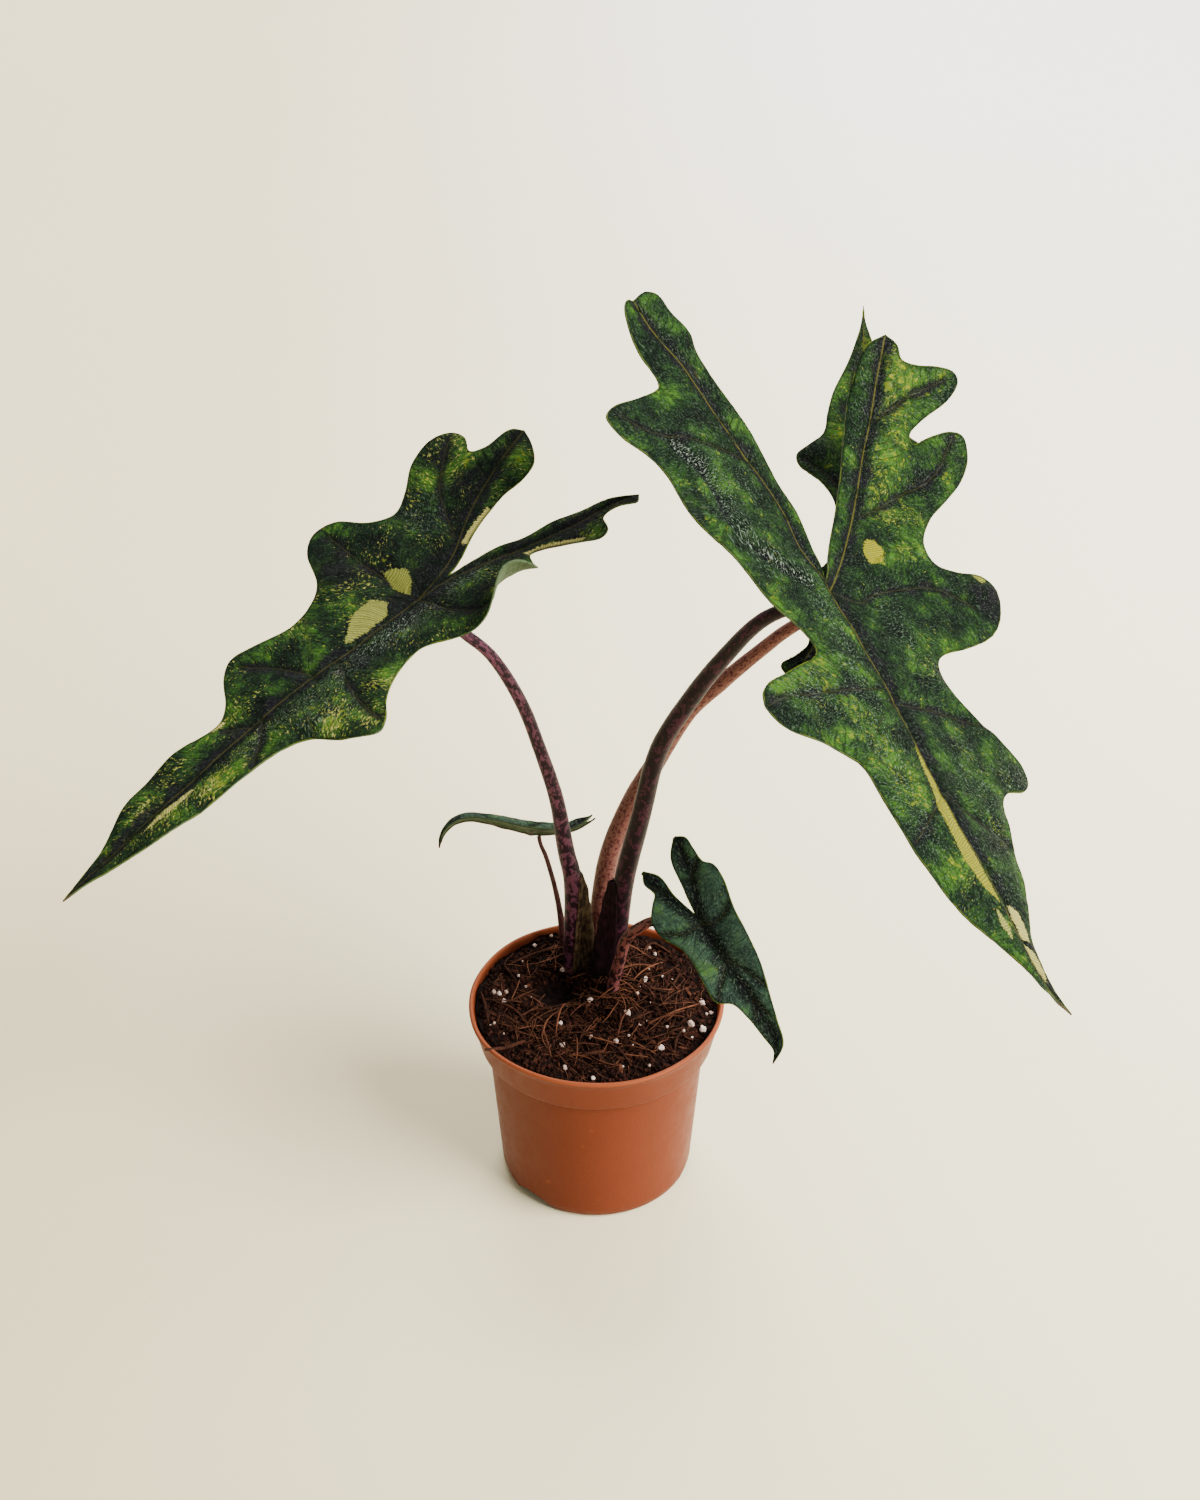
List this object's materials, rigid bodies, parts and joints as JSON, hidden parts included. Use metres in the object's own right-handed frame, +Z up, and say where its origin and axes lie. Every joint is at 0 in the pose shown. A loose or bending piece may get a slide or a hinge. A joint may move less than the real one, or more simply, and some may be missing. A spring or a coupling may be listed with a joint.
{
  "type": "potted alocasia",
  "caption": "Houseplant with arrow-shaped, deeply lobed and mottled leaves on arching stalks, in a small tapered nursery pot filled with potting mix.",
  "frame": {"origin": "centre of the pot's flat underside, on the surface the pot stands on", "axes": "+Z up along the pot's axis; the plant's front is towards -Y, with its left leaf towards -X and its big front leaf towards +X"},
  "size_m": [0.3817, 0.378, 0.4318],
  "materials": {
    "pot": "satin terracotta-coloured plastic",
    "soil": "loose dark peat and coir",
    "stem": "rough and fibrous",
    "stalk_purple": "smooth, mottled dark purple",
    "stalk_rose": "smooth, finely speckled rose",
    "leaf": "velvety green with cream and yellow mottling",
    "leaf_small": "velvety dark green"
  },
  "bodies": {
    "root": {"pot": "pot", "soil": "soil", "stem": "stem", "stalk_left": "stalk_purple", "stalk_front": "stalk_purple", "stalk_back": "stalk_rose", "stalk_small_front": "stalk_rose", "stalk_small_back": "stalk_rose", "blade_left": "leaf", "blade_front": "leaf", "blade_back": "leaf", "blade_small_front": "leaf_small", "blade_small_back": "leaf_small"}
  },
  "joints": []
}
